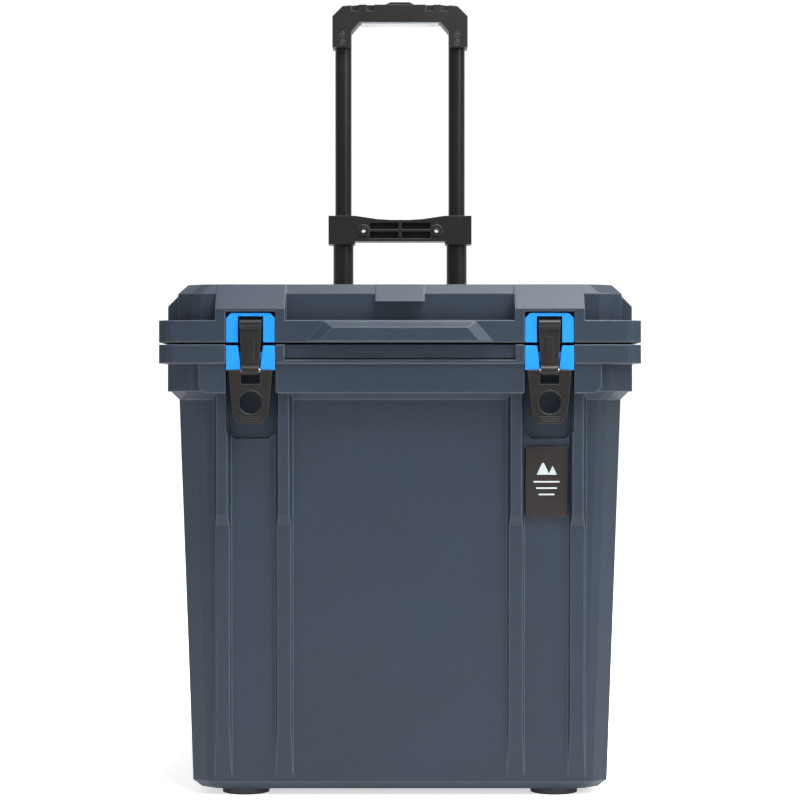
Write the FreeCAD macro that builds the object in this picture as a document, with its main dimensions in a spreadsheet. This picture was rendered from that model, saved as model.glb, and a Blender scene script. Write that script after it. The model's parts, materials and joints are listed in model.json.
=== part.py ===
"""Hard cooler on wheels: latched lid, moulded body, two wheels and a telescoping pull handle.

Frame: +Z up, -Y is the front with the latches, +X is the right-hand side seen from the front.
The origin lies on the ground, at the middle of the width and of the overall depth.
"""
import FreeCAD, Part
import os
import Sketcher

# Driving dimensions, in millimetres and degrees.
SIZES = {
    # box
    "rim_half_w": 242.0, "lid_depth": 352.0, "rim_top": 457.0, "rim_tall": 18.8,
    "collar_tall": 28.2, "collar_in": 7.5, "collar_bevel": 8.0, "hull_in": 17.0, "draft": 0.0332,
    "hull_facet": 15.0, "hull_blend": 9.0, "rim_facet": 9.0, "rim_blend": 5.0,
    "bottom_bevel": 8.0, "foot_tall": 6.5, "bottom_wall": 7.5, "shell_wall": 4.0,
    "band_half_w": 202.0, "band_tall": 33.0, "band_back": 2.0, "band_end": 6.0,
    "strip_half_w": 116.0, "strip_tall": 13.0, "strip_deep": 4.0, "groove_tall": 2.3,
    "rib_inner_x": 117.0, "rib_outer_x": 179.0, "rib_half_w": 9.5, "rib_top_half_w": 5.5,
    "rib_tall": 9.0, "rib_step": 4.5, "rib_step_z": 285.0, "rib_step_run": 10.0,
    "rib_end_z": 19.0, "rib_end_run": 46.0,
    # inside
    "inner_half_w": 204.0, "inner_front": 42.0, "inner_rear": 36.0, "inner_floor": 45.0,
    "inner_taper": 10.0, "inner_corner": 14.0, "foam_corner": 22.0,
    "liner_wall": 3.0, "foam_front": 28.0, "foam_front_low": 34.5,
    # spine behind the body
    "spine_half_w": 92.0, "spine_back": 424.0, "spine_drop": 52.0, "spine_low": 20.0,
    "spine_wall": 8.0, "spine_cut": 20.0,
    # lid
    "seam": 2.1, "flange_tall": 22.2, "block_in": 17.0, "block_tall": 27.7, "top_bevel": 9.5,
    "tower_inner_x": 115.0, "tower_outer_x": 185.0, "tower_face_tall": 11.9, "tower_deep": 40.0,
    "side_tower_face_tall": 17.7, "side_tower_start": 100.0, "side_tower_long": 152.0,
    "tab_half_w": 24.6, "tab_tall": 18.0, "tab_thick": 7.0,
    "lip_proud": 7.5, "lip_top_half_w": 77.0, "lip_low_half_w": 94.8, "lip_front_top_half_w": 67.4,
    "lip_front_low_half_w": 79.5, "lip_tall": 20.3, "lip_front_tall": 13.5,
    "lid_wall": 6.0, "lid_roof": 6.5, "lid_pan": 3.9, "plug_gap": 3.0, "plug_tall": 17.0,
    "seal_wide": 8.0, "seal_gap": 0.1,
    # hinge
    "hinge_x": 130.0, "hinge_back": 8.5, "hinge_up": 1.0, "knuckle_r": 7.0, "knuckle_half": 12.0,
    "knuckle_long": 14.0, "knuckle_gap": 0.4, "hinge_pin_r": 3.0,
    # latches
    "latch_x": 149.6, "recess_half_w": 25.0, "recess_deep": 24.0, "recess_low": 95.0,
    "recess_cut": 8.0, "lid_recess_deep": 14.0, "lid_recess_tall": 31.1,
    "blue_half_w": 24.4, "keeper_front": 1.0, "keeper_tall": 29.4, "keeper_cut": 5.0,
    "keeper_bar": 3.1, "window_half_w": 12.7,
    "pivot_back": 8.0, "pivot_down": 12.0, "pivot_r": 2.5, "hub_r": 5.0, "pivot_end": 4.0,
    "cheek_top": 1.0, "cheek_low": 25.5, "cheek_inner_low": 9.6,
    "lever_tall": 53.8, "lever_half_w": 22.0, "lever_low_half_w": 17.5, "lever_tip_half_w": 10.8,
    "lever_tip_tall": 8.4, "lever_front": -1.0, "lever_thick": 11.0, "slot_half_w": 9.6,
    "slot_tall": 14.0, "finger_r": 11.2, "finger_up": 21.1,
    "link_pin_back": 2.0, "link_pin_down": 26.0, "link_pin_r": 2.0, "link_pin_half": 18.0,
    "link_half_w": 8.8, "link_top_half_w": 10.8, "link_long": 46.5, "link_barrel_r": 5.25,
    "link_top_barrel_r": 4.5, "link_front": -1.0, "link_thick": 3.5,
    # badge
    "badge_x": 147.65, "badge_half_w": 21.9, "badge_low": 283.5, "badge_tall": 71.2,
    "badge_thick": 3.0, "badge_cut": 4.0,
    # feet and wheels
    "foot_x": 158.0, "foot_back": 64.0, "foot_r": 24.0,
    "foot_screw_r": 2.0, "foot_head_r": 5.0, "foot_head_tall": 3.0, "foot_head_low": 1.5,
    "axle_back": 404.0, "wheel_r": 68.0, "wheel_inner_x": 152.0, "wheel_wide": 46.0,
    "tyre_thick": 12.0, "tyre_edge": 7.0, "axle_r": 6.0, "axle_half": 200.0, "hub_core_r": 17.0,
    "hub_disc": 10.0, "hub_rim": 5.0, "washer_thick": 1.5, "washer_r": 14.0, "sleeve_r": 11.0,
    "sleeve_flange_r": 20.0, "sleeve_flange": 5.0, "cap_r": 15.0, "cap_thick": 3.0,
    # handle
    "handle_back": 441.0, "handle_half_deep": 15.0, "tube_x": 67.4, "outer_tube_r": 14.2,
    "outer_tube_wall": 1.8, "outer_tube_low": 100.0, "outer_tube_above": 27.0,
    "middle_tube_r": 12.0, "middle_tube_wall": 1.8, "middle_tube_low": 255.0,
    "inner_tube_r": 9.75, "inner_tube_wall": 1.5, "inner_tube_low": 461.0,
    "bracket_half_w": 90.0, "bracket_tall": 32.0, "low_bracket_z": 90.0, "high_bracket_drop": 55.0,
    "bracket_screw_x": 38.0, "bracket_screw_r": 2.5, "bracket_head_r": 5.0, "bracket_head": 3.0,
    "bush_r": 16.0, "bush_tall": 13.5, "bush_lip": 3.5,
    "bar_low": 586.0, "bar_tall": 34.0, "bar_half_w": 84.8, "collar_inner_x": 53.5,
    "bar_arch": 3.6, "bar_dip": 4.9, "bar_seat": 20.0, "boss_x": 43.3, "boss_up": 16.4,
    "boss_r": 6.8, "boss_proud": 1.0, "boss_hole_r": 2.5, "cell_deep": 9.0, "cell_inner_x": 1.5,
    "cell_outer_x": 36.0, "cell_edge": 3.4, "cell_rib_half": 1.5,
    "grip_low": 819.7, "grip_tall": 50.6, "grip_half_w": 80.2, "grip_cut": 12.0,
    "grip_end_drop": 1.8, "leg_inner_x": 57.9, "leg_tall": 18.3, "loop_half_w": 48.2,
    "loop_tall": 30.0, "tube_in_grip": 25.3, "grip_screw_x": 68.1, "grip_screw_z": 6.3,
    "grip_screw_step": 8.8, "grip_screw_r": 1.5, "grip_head_r": 3.2, "grip_head": 2.0,
    "notch_tall": 7.4, "notch_deep": 4.0, "notch_wide": 9.0, "notch_a_x": 35.0, "notch_b_x": 53.3,
    "strip_grey_half_w": 46.0, "strip_grey_thick": 3.3, "strip_grey_proud": 2.0,
    "strip_grey_margin": 3.0, "strip_hole_x": 40.0, "strip_hole_r": 2.0,
    "button_half_w": 19.7, "button_top_half_w": 11.4, "button_proud": 3.9, "button_deep": 8.5,
    "button_half_deep": 8.5, "button_well": 16.3,
    # clearances
    "fit": 0.06, "snug": 0.03, "loose": 0.4, "flange_gap": 0.3,
}

doc = FreeCAD.newDocument("CoolerOnWheels")
sheet = doc.addObject("Spreadsheet::Sheet", "Sizes")
for row, (alias, number) in enumerate(SIZES.items(), start=1):
    sheet.set(f"A{row}", alias)
    sheet.set(f"B{row}", str(number))
    sheet.setAlias(f"B{row}", alias)
doc.recompute()


class Size:
    """A length that knows both its value and the sheet expression that gives it."""

    def __init__(self, value, text):
        self.value = value
        self.text = text

    def __add__(self, other):
        other = as_size(other)
        return Size(self.value + other.value, f"({self.text} + {other.text})")

    def __sub__(self, other):
        other = as_size(other)
        return Size(self.value - other.value, f"({self.text} - {other.text})")

    def __mul__(self, other):
        other = as_size(other)
        return Size(self.value * other.value, f"({self.text} * {other.text})")

    def __truediv__(self, other):
        other = as_size(other)
        return Size(self.value / other.value, f"({self.text} / {other.text})")

    def __neg__(self):
        return Size(-self.value, f"(0 - {self.text})")

    def __radd__(self, other):
        return as_size(other) + self

    def __rsub__(self, other):
        return as_size(other) - self

    def __rmul__(self, other):
        return as_size(other) * self


def as_size(number):
    """Wrap a plain number, so that it mixes with sizes from the sheet."""
    return number if isinstance(number, Size) else Size(float(number), f"{float(number):.6f}")


class SheetSizes:
    """Attribute access to the sheet: d.rim_top is the size named rim_top."""

    def __getattr__(self, alias):
        return Size(float(sheet.get(alias)), f"Sizes.{alias}")


d = SheetSizes()
NODES = []

# ---------------------------------------------------------------- drawing helpers


def new_body(name):
    """Start a PartDesign body that becomes the sub-part called name."""
    body = doc.addObject("PartDesign::Body", name)
    body.Label = name
    NODES.append(body)
    return body


def start_sketch(body, name, plane, offset):
    """Make an empty sketch on one of the body's origin planes, offset along the plane's normal."""
    sketch = body.newObject("Sketcher::SketchObject", name)
    for feature in body.Origin.OriginFeatures:
        if feature.Role == plane:
            sketch.AttachmentSupport = [(feature, "")]
    sketch.MapMode = "FlatFace"
    sketch.setExpression("AttachmentOffset.Base.z", as_size(offset).text)
    return sketch


def fix_point(sketch, line, end, across, up):
    """Dimension one sketch point from the sketch's origin with expressions."""
    for kind, size in (("DistanceX", as_size(across)), ("DistanceY", as_size(up))):
        number = sketch.addConstraint(Sketcher.Constraint(kind, -1, 1, line, end, size.value))
        sketch.setExpression(f"Constraints[{number}]", size.text)


def polygon(body, name, plane, offset, points):
    """Sketch a closed polygon whose corners are (across, up) pairs of sizes."""
    sketch = start_sketch(body, name, plane, offset)
    corners = [FreeCAD.Vector(as_size(x).value, as_size(y).value, 0) for x, y in points]
    count = len(corners)
    lines = [Part.LineSegment(corners[i], corners[(i + 1) % count]) for i in range(count)]
    sketch.addGeometry(lines, False)
    joins = [Sketcher.Constraint("Coincident", i, 2, (i + 1) % count, 1) for i in range(count)]
    sketch.addConstraint(joins)
    for line, (across, up) in enumerate(points):
        fix_point(sketch, line, 1, across, up)
    return sketch


def circle(body, name, plane, offset, centre, radius):
    """Sketch a dimensioned circle."""
    sketch = start_sketch(body, name, plane, offset)
    across, up, radius = as_size(centre[0]), as_size(centre[1]), as_size(radius)
    middle = FreeCAD.Vector(across.value, up.value, 0)
    sketch.addGeometry(Part.Circle(middle, FreeCAD.Vector(0, 0, 1), radius.value), False)
    fix_point(sketch, 0, 3, across, up)
    number = sketch.addConstraint(Sketcher.Constraint("Radius", 0, radius.value))
    sketch.setExpression(f"Constraints[{number}]", radius.text)
    return sketch


def extrude(body, name, plane, low, high, outline, cut=False):
    """Pad or pocket an outline between two coordinates along the plane's world axis.

    The XZ plane's normal points to -Y, so its offset changes sign; the XY and YZ planes'
    normals point to +Z and +X. A pad follows the normal and a pocket goes against it.
    """
    low, high = as_size(low), as_size(high)
    flipped = plane == "XZ_Plane"
    if flipped:
        start = -(low if cut else high)
    else:
        start = high if cut else low
    if isinstance(outline, list):
        sketch = polygon(body, f"{name}_outline", plane, start, outline)
    else:
        sketch = circle(body, f"{name}_outline", plane, start, outline[0], outline[1])
    feature = body.newObject("PartDesign::Pocket" if cut else "PartDesign::Pad", name)
    feature.Profile = sketch
    feature.setExpression("Length", (high - low).text)
    return feature


def loft(body, name, plane, first, second, cut=False):
    """Join two (offset, polygon) sections with flat faces; XZ offsets are world y coordinates."""
    sketches = []
    for number, (place, points) in enumerate((first, second)):
        offset = -as_size(place) if plane == "XZ_Plane" else place
        sketches.append(polygon(body, f"{name}_section_{number}", plane, offset, points))
    kind = "PartDesign::SubtractiveLoft" if cut else "PartDesign::AdditiveLoft"
    feature = body.newObject(kind, name)
    feature.Profile = sketches[0]
    feature.Sections = [sketches[1]]
    feature.Ruled = True
    return feature


def box_points(x_low, x_high, y_low, y_high):
    """Corners of a rectangle."""
    return [(x_low, y_low), (x_high, y_low), (x_high, y_high), (x_low, y_high)]


def mirrored(half):
    """Close an outline that is symmetric about x = 0 from its right-hand half."""
    return half + [(-x, y) for x, y in reversed(half)]


def cut_box(half_w, y_front, y_rear, corner):
    """Plan outline with a straight facet at each corner."""
    return mirrored([
        (half_w - corner, y_front),
        (half_w, y_front + corner),
        (half_w, y_rear - corner),
        (half_w - corner, y_rear),
    ])


def soft_box(half_w, y_front, y_rear, facet, blend):
    """Plan outline whose front corners are a facet that blends into the front face."""
    return mirrored([
        (half_w - facet - blend, y_front),
        (half_w - facet, y_front + 0.33 * blend),
        (half_w, y_front + 0.33 * blend + 0.87 * facet),
        (half_w, y_rear - facet),
        (half_w - facet, y_rear),
    ])


def bar(name, axis, centre, low, high, radius):
    """Round bar along x, y or z as a Part::Cylinder; centre holds the other two coordinates."""
    cylinder = doc.addObject("Part::Cylinder", name)
    low, high = as_size(low), as_size(high)
    cylinder.setExpression("Radius", as_size(radius).text)
    cylinder.setExpression("Height", (high - low).text)
    places = {
        "x": (low, centre[0], centre[1], FreeCAD.Rotation(FreeCAD.Vector(0, 1, 0), 90)),
        "y": (centre[0], low, centre[1], FreeCAD.Rotation(FreeCAD.Vector(1, 0, 0), -90)),
        "z": (centre[0], centre[1], low, FreeCAD.Rotation()),
    }
    x, y, z, turn = places[axis]
    cylinder.Placement = FreeCAD.Placement(FreeCAD.Vector(0, 0, 0), turn)
    for letter, place in (("x", x), ("y", y), ("z", z)):
        cylinder.setExpression(f"Placement.Base.{letter}", as_size(place).text)
    return cylinder


def combine(name, kind, pieces):
    """Boolean of Part objects: Part::Cut takes the first minus the second."""
    result = doc.addObject(kind, name)
    if kind == "Part::Cut":
        result.Base, result.Tool = pieces
    else:
        result.Shapes = pieces
    return result


def keep(feature, name):
    """Publish a Part object as the sub-part called name."""
    feature.Label = name
    NODES.append(feature)
    return feature


def tube(name, axis, centre, low, high, radius, bore):
    """Straight tube kept as a sub-part."""
    outside = bar(f"{name}_outside", axis, centre, low, high, radius)
    inside = bar(f"{name}_bore", axis, centre, low - 1, high + 1, bore)
    return keep(combine(name, "Part::Cut", [outside, inside]), name)


def turned(body, name, axis_x, profile):
    """Revolve an (x, radius) profile about the wheel axle's centre line."""
    points = [(x, axle_y + radius) for x, radius in profile]
    sketch = polygon(body, f"{name}_profile", "XY_Plane", axle_z, points)
    axis = start_sketch(body, f"{name}_axis", "XY_Plane", axle_z)
    axis.addGeometry(Part.LineSegment(FreeCAD.Vector(axis_x, axle_y.value, 0),
                                      FreeCAD.Vector(axis_x + 10, axle_y.value, 0)), False)
    fix_point(axis, 0, 1, axis_x, axle_y)
    fix_point(axis, 0, 2, axis_x + 10, axle_y)
    feature = body.newObject("PartDesign::Revolution", name)
    feature.Profile = sketch
    feature.ReferenceAxis = (axis, ["Edge1"])
    feature.Angle = 360
    return feature


SIDES = (("left", -1), ("right", 1))

# ---------------------------------------------------------------- shared places

front_y = (d.lip_proud - d.axle_back - d.wheel_r) / 2
rear_y = front_y + d.lid_depth
rim_low = d.rim_top - d.rim_tall
collar_low = rim_low - d.collar_tall
lid_low = d.rim_top + d.seam
flange_top = lid_low + d.flange_tall
block_top = flange_top + d.block_tall
lid_top = block_top + d.top_bevel
shell_low = d.foot_tall
shell_floor = shell_low + d.bottom_wall
hinge_y = rear_y + d.hinge_back
hinge_z = d.rim_top + d.hinge_up
pivot_y = front_y + d.pivot_back
pivot_z = d.rim_top - d.pivot_down
link_y = front_y + d.link_pin_back
link_z = d.rim_top - d.link_pin_down
axle_y = front_y + d.axle_back
axle_z = d.wheel_r
spine_y = front_y + d.spine_back
spine_top = d.rim_top - d.spine_drop
high_bracket_z = spine_top - d.high_bracket_drop
outer_tube_top = spine_top + d.outer_tube_above
handle_y = front_y + d.handle_back
handle_front = handle_y - d.handle_half_deep
handle_rear = handle_y + d.handle_half_deep
bar_top = d.bar_low + d.bar_tall
grip_top = d.grip_low + d.grip_tall


def hull_inset(z):
    """Distance of the drafted hull's face inside the rim, at height z."""
    return d.hull_in + d.draft * (rim_low - z)


def hull_outline(z, inset=0):
    """Plan section of the drafted hull at height z."""
    in_by = hull_inset(z) + inset
    return soft_box(d.rim_half_w - in_by, front_y + in_by, rear_y - in_by, d.hull_facet, d.hull_blend)


def inner_outline(z_share, grow=0):
    """Section of the storage space: z_share is 0 at the rim and 1 at the floor."""
    shrink = d.inner_taper * z_share
    half_w = d.inner_half_w - shrink + grow
    front = front_y + d.inner_front + shrink - grow
    rear = rear_y - d.inner_rear - shrink + grow
    return cut_box(half_w, front, rear, d.inner_corner)


def foam_outline(at_top, gap=0):
    """Section of the space between the outer shell and the liner, drawn in by a gap."""
    inset = hull_inset(rim_low) if at_top else hull_inset(shell_floor)
    half_w = d.rim_half_w - inset - d.shell_wall - gap
    front = front_y + (d.foam_front if at_top else d.foam_front_low) + gap
    return cut_box(half_w, front, rear_y - inset - d.shell_wall - gap, d.foam_corner)


def face_y(z):
    """y of the hull's front face at height z."""
    return front_y + hull_inset(z)


# ---------------------------------------------------------------- body


def add_ribs(body):
    """Four raised ribs down the front: a bevelled section, a step down and a run-out."""
    for name, side in SIDES:
        for place, middle in (("inner", side * d.rib_inner_x), ("outer", side * d.rib_outer_x)):
            sections = []
            for z in (d.rib_end_z, collar_low + 4):
                low_y, high_y = face_y(z) + 2, face_y(z) - d.rib_tall
                sections.append((z, [
                    (middle - d.rib_half_w, low_y),
                    (middle + d.rib_half_w, low_y),
                    (middle + d.rib_top_half_w, high_y),
                    (middle - d.rib_top_half_w, high_y),
                ]))
            loft(body, f"rib_{place}_{name}", "XY_Plane", sections[0], sections[1])
    step_end = d.rib_step_z - d.rib_step_run
    run_start = d.rib_end_z + d.rib_end_run
    low_tall = d.rib_tall - d.rib_step
    extrude(body, "rib_trim", "YZ_Plane", -d.rim_half_w, d.rim_half_w, [
        (face_y(d.rib_step_z) - d.rib_tall, d.rib_step_z),
        (face_y(step_end) - low_tall, step_end),
        (face_y(run_start) - low_tall, run_start),
        (face_y(d.rib_end_z), d.rib_end_z),
        (face_y(d.rib_end_z) - 2 * d.rib_tall, d.rib_end_z),
        (face_y(d.rib_step_z) - 2 * d.rib_tall, d.rib_step_z),
    ], cut=True)


def add_spine(body):
    """Hollow rear spine that carries the handle and the axle, open below."""
    extrude(body, "spine", "YZ_Plane", -d.spine_half_w, d.spine_half_w, [
        (rear_y - 60, d.spine_low),
        (spine_y - d.spine_wall, d.spine_low),
        (spine_y, d.spine_low + d.spine_wall),
        (spine_y, spine_top - d.spine_cut),
        (spine_y - d.spine_cut, spine_top),
        (rear_y - 60, spine_top),
    ])


def add_body_knuckles(body):
    """Two knuckles at each hinge, on webs from the rim's rear face."""
    for name, side in SIDES:
        for number, way in enumerate((-1, 1)):
            middle = side * d.hinge_x + way * (d.knuckle_half + d.knuckle_gap + d.knuckle_long / 2)
            low, high = middle - d.knuckle_long / 2, middle + d.knuckle_long / 2
            extrude(body, f"knuckle_{name}_{number}", "YZ_Plane", low, high,
                    ((hinge_y, hinge_z), d.knuckle_r))
            extrude(body, f"knuckle_web_{name}_{number}", "YZ_Plane", low, high, [
                (rear_y - 2, rim_low + 1),
                (hinge_y + d.knuckle_r / 2, hinge_z - 0.8 * d.knuckle_r),
                (hinge_y, hinge_z - 1),
                (rear_y - 2, d.rim_top),
            ])
        extrude(body, f"hinge_bore_{name}", "YZ_Plane", side * d.hinge_x - 30, side * d.hinge_x + 30,
                ((hinge_y, hinge_z), d.hinge_pin_r + d.snug), cut=True)


def make_body_shell():
    """Drafted outer shell with its collar, rim, ribs, latch recesses, spine and knuckles."""
    body = new_body("body_shell")
    loft(body, "bottom_edge", "XY_Plane",
         (shell_low, hull_outline(shell_low, d.bottom_bevel)),
         (shell_low + d.bottom_bevel, hull_outline(shell_low + d.bottom_bevel)))
    loft(body, "hull", "XY_Plane",
         (shell_low + d.bottom_bevel, hull_outline(shell_low + d.bottom_bevel)),
         (rim_low + 1, hull_outline(rim_low + 1)))
    collar = soft_box(d.rim_half_w - d.collar_in, front_y + d.collar_in, rear_y - d.collar_in,
                      d.hull_facet, d.hull_blend)
    loft(body, "collar_root", "XY_Plane",
         (collar_low - d.collar_bevel, hull_outline(collar_low - d.collar_bevel)),
         (collar_low, soft_box(d.rim_half_w - d.collar_in - 3, front_y + d.collar_in + 3,
                               rear_y - d.collar_in - 3, d.hull_facet, d.hull_blend)))
    extrude(body, "collar", "XY_Plane", collar_low, rim_low + 1, collar)
    band_top = rim_low + d.rim_tall - d.strip_tall - d.groove_tall
    extrude(body, "band", "XZ_Plane", front_y + d.band_back, front_y + d.foam_front, mirrored([
        (d.band_half_w - d.band_end, band_top - d.band_tall),
        (d.band_half_w, band_top - d.band_tall + d.band_end),
        (d.band_half_w, band_top),
    ]))
    extrude(body, "rim", "XY_Plane", rim_low, d.rim_top,
            soft_box(d.rim_half_w, front_y, rear_y, d.rim_facet, d.rim_blend))
    add_ribs(body)
    add_spine(body)
    add_body_knuckles(body)
    strip_low = d.rim_top - d.strip_tall
    extrude(body, "strip", "XZ_Plane", front_y - 1, front_y + d.strip_deep,
            box_points(-d.strip_half_w, d.strip_half_w, strip_low, d.rim_top + 1), cut=True)
    extrude(body, "groove", "XZ_Plane", front_y - 1, front_y + d.strip_deep + 2,
            box_points(-d.strip_half_w, d.strip_half_w, band_top, strip_low), cut=True)
    loft(body, "foam_space", "XY_Plane", (shell_floor, foam_outline(False)),
         (d.rim_top, foam_outline(True)), cut=True)
    hollow_top = high_bracket_z + d.bracket_tall
    extrude(body, "spine_space", "XY_Plane", shell_low - 1, hollow_top,
            box_points(-(d.spine_half_w - d.spine_wall), d.spine_half_w - d.spine_wall,
                       rear_y - d.hull_in + d.shell_wall, spine_y - d.spine_wall), cut=True)
    for name, side in SIDES:
        middle = side * d.latch_x
        recess_low = d.rim_top - d.recess_low
        extrude(body, f"recess_{name}", "XZ_Plane", front_y - 1, front_y + d.recess_deep, [
            (middle - d.recess_half_w + d.recess_cut, recess_low),
            (middle + d.recess_half_w - d.recess_cut, recess_low),
            (middle + d.recess_half_w, recess_low + d.recess_cut),
            (middle + d.recess_half_w, d.rim_top + 1),
            (middle - d.recess_half_w, d.rim_top + 1),
            (middle - d.recess_half_w, recess_low + d.recess_cut),
        ], cut=True)
        reach = d.recess_half_w + d.pivot_end
        extrude(body, f"pivot_bore_{name}", "YZ_Plane", middle - reach, middle + reach,
                ((pivot_y, pivot_z), d.pivot_r + d.snug), cut=True)
        extrude(body, f"foot_bore_{name}", "XY_Plane", shell_low - 1, shell_floor - 0.9,
                ((side * d.foot_x, front_y + d.foot_back), d.foot_screw_r + d.snug), cut=True)
        for level, low in (("low", d.low_bracket_z), ("high", high_bracket_z)):
            place = (side * d.bracket_screw_x, low + d.bracket_tall / 2)
            extrude(body, f"bracket_bore_{level}_{name}", "XZ_Plane", spine_y - d.spine_wall - 1,
                    spine_y + 1, (place, d.bracket_screw_r + d.snug), cut=True)
    extrude(body, "axle_bore", "YZ_Plane", -d.spine_half_w - 1, d.spine_half_w + 1,
            ((axle_y, axle_z), d.axle_r + d.snug), cut=True)


def make_inside():
    """Insulation and the food-safe liner with its flange on the rim."""
    foam_top = d.rim_top - d.liner_wall
    foam = new_body("body_foam")
    loft(foam, "foam_block", "XY_Plane", (shell_floor, foam_outline(False)),
         (d.rim_top, foam_outline(True)))
    extrude(foam, "foam_trim", "XY_Plane", foam_top, d.rim_top + 1,
            box_points(-d.rim_half_w, d.rim_half_w, front_y, rear_y), cut=True)
    liner_low = d.inner_floor - d.liner_wall
    loft(foam, "foam_hollow", "XY_Plane", (liner_low, inner_outline(1, d.liner_wall)),
         (d.rim_top, inner_outline(0, d.liner_wall)), cut=True)
    liner = new_body("inner_liner")
    loft(liner, "liner_tub", "XY_Plane", (liner_low, inner_outline(1, d.liner_wall)),
         (d.rim_top, inner_outline(0, d.liner_wall)))
    extrude(liner, "liner_flange", "XY_Plane", foam_top, d.rim_top, foam_outline(True, d.flange_gap))
    floor_share = (d.rim_top - d.inner_floor) / (d.rim_top - liner_low)
    loft(liner, "storage", "XY_Plane", (d.inner_floor, inner_outline(floor_share)),
         (d.rim_top, inner_outline(0)), cut=True)


def make_badge():
    """Plain badge plate on the right-hand latch panel, lying along the drafted face."""
    badge = new_body("badge")
    sections = []
    for z in (d.badge_low, d.badge_low + d.badge_tall):
        sections.append((z, [
            (d.badge_x - d.badge_half_w, face_y(z)),
            (d.badge_x + d.badge_half_w, face_y(z)),
            (d.badge_x + d.badge_half_w, face_y(z) - d.badge_thick + 1),
            (d.badge_x + d.badge_half_w - 1, face_y(z) - d.badge_thick),
            (d.badge_x - d.badge_half_w + 1, face_y(z) - d.badge_thick),
            (d.badge_x - d.badge_half_w, face_y(z) - d.badge_thick + 1),
        ]))
    loft(badge, "plate", "XY_Plane", sections[0], sections[1])
    for way_x in (-1, 1):
        for way_z in (-1, 1):
            corner_x = d.badge_x + way_x * d.badge_half_w
            corner_z = d.badge_low + d.badge_tall / 2 + way_z * d.badge_tall / 2
            extrude(badge, f"corner_{way_x + 1}_{way_z + 1}", "XZ_Plane",
                    front_y, front_y + 2 * d.recess_deep, [
                        (corner_x - way_x * d.badge_cut, corner_z + way_z),
                        (corner_x + way_x, corner_z + way_z),
                        (corner_x + way_x, corner_z - way_z * d.badge_cut),
                    ], cut=True)


# ---------------------------------------------------------------- lid


def make_lid_shell():
    """Lid skin: flange, domed block, latch and side towers, finger tab and lip."""
    body = new_body("lid_shell")
    extrude(body, "flange", "XY_Plane", lid_low, flange_top,
            soft_box(d.rim_half_w, front_y, rear_y, d.rim_facet, d.rim_blend))

    def block_outline(inset):
        in_by = d.block_in + inset
        return soft_box(d.rim_half_w - in_by, front_y + in_by, rear_y - in_by, d.hull_facet, d.hull_blend)

    extrude(body, "block", "XY_Plane", flange_top - 1, block_top, block_outline(0))
    loft(body, "block_bevel", "XY_Plane", (block_top, block_outline(0)),
         (lid_top, block_outline(d.top_bevel)))
    tower_bevel = flange_top + d.tower_face_tall
    for name, side in SIDES:
        edges = sorted((side * d.tower_inner_x, side * d.tower_outer_x), key=lambda size: size.value)
        extrude(body, f"tower_{name}", "YZ_Plane", edges[0], edges[1], [
            (front_y, flange_top - 1),
            (front_y, tower_bevel),
            (front_y + (lid_top - tower_bevel), lid_top),
            (front_y + d.tower_deep, lid_top),
            (front_y + d.tower_deep, flange_top - 1),
        ])
        side_bevel = flange_top + d.side_tower_face_tall
        start = front_y + d.side_tower_start
        extrude(body, f"side_tower_{name}", "XZ_Plane", start, start + d.side_tower_long, [
            (side * (d.rim_half_w - d.tower_deep), flange_top - 1),
            (side * d.rim_half_w, flange_top - 1),
            (side * d.rim_half_w, side_bevel),
            (side * (d.rim_half_w - (lid_top - side_bevel)), lid_top),
            (side * (d.rim_half_w - d.tower_deep), lid_top),
        ])
    tab_low = lid_top - d.tab_tall
    tab_y = front_y + (tab_low - tower_bevel)
    extrude(body, "tab", "YZ_Plane", -d.tab_half_w, d.tab_half_w, [
        (tab_y, tab_low),
        (tab_y + d.tab_tall, lid_top),
        (tab_y + d.tab_tall + 2 * d.tab_thick, lid_top),
        (tab_y + d.tab_tall + 2 * d.tab_thick, lid_top - d.tab_thick),
        (tab_y + d.tab_thick, tab_low),
    ])
    lip_low = lid_low + 1.4
    loft(body, "lip", "XZ_Plane", (front_y + 1, [
        (d.lip_low_half_w, lip_low),
        (d.lip_top_half_w, lip_low + d.lip_tall),
        (-d.lip_top_half_w, lip_low + d.lip_tall),
        (-d.lip_low_half_w, lip_low),
    ]), (front_y - d.lip_proud, [
        (d.lip_front_low_half_w, lip_low),
        (d.lip_front_top_half_w, lip_low + d.lip_front_tall),
        (-d.lip_front_top_half_w, lip_low + d.lip_front_tall),
        (-d.lip_front_low_half_w, lip_low),
    ]))
    for name, side in SIDES:
        low, high = side * d.hinge_x - d.knuckle_half, side * d.hinge_x + d.knuckle_half
        extrude(body, f"knuckle_{name}", "YZ_Plane", low, high, ((hinge_y, hinge_z), d.knuckle_r))
        extrude(body, f"knuckle_web_{name}", "YZ_Plane", low, high, [
            (rear_y - 2, lid_low),
            (hinge_y, hinge_z + 1.2),
            (hinge_y + d.knuckle_r / 2, hinge_z + 0.8 * d.knuckle_r),
            (rear_y - 2, flange_top - 4),
        ])
        extrude(body, f"hinge_bore_{name}", "YZ_Plane", low - 1, high + 1,
                ((hinge_y, hinge_z), d.hinge_pin_r + d.fit), cut=True)
        middle = side * d.latch_x
        extrude(body, f"recess_{name}", "XZ_Plane", front_y - 1, front_y + d.lid_recess_deep,
                box_points(middle - d.recess_half_w, middle + d.recess_half_w,
                           lid_low - 1, lid_low + d.lid_recess_tall), cut=True)
    extrude(body, "lid_space", "XY_Plane", lid_low - 1, lid_top - d.lid_roof, lid_space_outline(), cut=True)


def lid_space_outline():
    """Plan section of the space inside the lid skin."""
    inset = d.block_in + d.lid_wall
    return cut_box(d.rim_half_w - inset, front_y + inset, rear_y - inset, d.foam_corner)


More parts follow.
